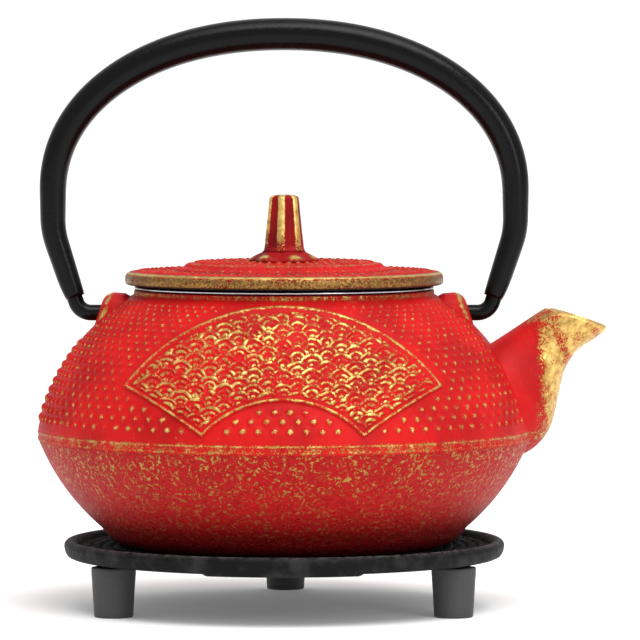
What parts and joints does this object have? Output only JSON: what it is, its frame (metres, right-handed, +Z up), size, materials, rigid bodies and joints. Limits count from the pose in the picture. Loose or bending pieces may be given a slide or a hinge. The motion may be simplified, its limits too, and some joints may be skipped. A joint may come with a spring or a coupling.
{
  "type": "cast iron teapot",
  "caption": "Round cast iron teapot with a short spout, fold-down hollow bail handle, lift-off knobbed lid, mesh infuser basket and a footed trivet that it stands on.",
  "frame": {"origin": "on the pot's vertical axis, at the level of the surface that the trivet's feet stand on", "axes": "+Z up, +X from the pot's axis towards the spout, +Y away from the viewer of the relief; the bail's hinge axis is parallel to X"},
  "size_m": [0.139, 0.12, 0.1436],
  "materials": {
    "red_iron": "painted red with gold rubbed on the raised dots",
    "infuser_steel": "bright stainless sheet",
    "infuser_mesh": "woven stainless mesh",
    "gold_knob": "red paint rubbed with gold",
    "screw_steel": "plain stainless",
    "black_handle": "satin black enamel",
    "black_iron": "matt black",
    "foot_rubber": "matt dark grey"
  },
  "bodies": {
    "trivet": {"trivet_plate": "black_iron", "foot_front_left": "foot_rubber", "foot_front_right": "foot_rubber", "foot_back": "foot_rubber"},
    "pot": {"pot_body": "red_iron"},
    "infuser": {"infuser_rim": "infuser_steel", "infuser_wall": "infuser_mesh", "infuser_base_ring": "infuser_steel", "infuser_floor": "infuser_mesh"},
    "lid": {"lid": "red_iron", "knob_seat": "gold_knob", "lid_knob": "gold_knob", "knob_screw": "screw_steel", "knob_washer": "screw_steel"},
    "bail": {"handle_bow": "black_handle", "hook_left": "black_handle", "hook_right": "black_handle"}
  },
  "joints": [
    {"name": "pot_lift", "type": "slide", "parent": "trivet", "child": "pot", "axis": [0, 0, 1], "range_m": [0, 0.06]},
    {"name": "infuser_lift", "type": "slide", "parent": "pot", "child": "infuser", "axis": [0, 0, 1], "range_m": [0, 0.016]},
    {"name": "lid_lift", "type": "slide", "parent": "infuser", "child": "lid", "axis": [0, 0, 1], "range_m": [0, 0.015]},
    {"name": "bail_swing", "type": "hinge", "parent": "pot", "child": "bail", "pos_m": [0, 0, 0.0719], "axis": [1, 0, 0], "range_deg": [-105, 105]}
  ]
}
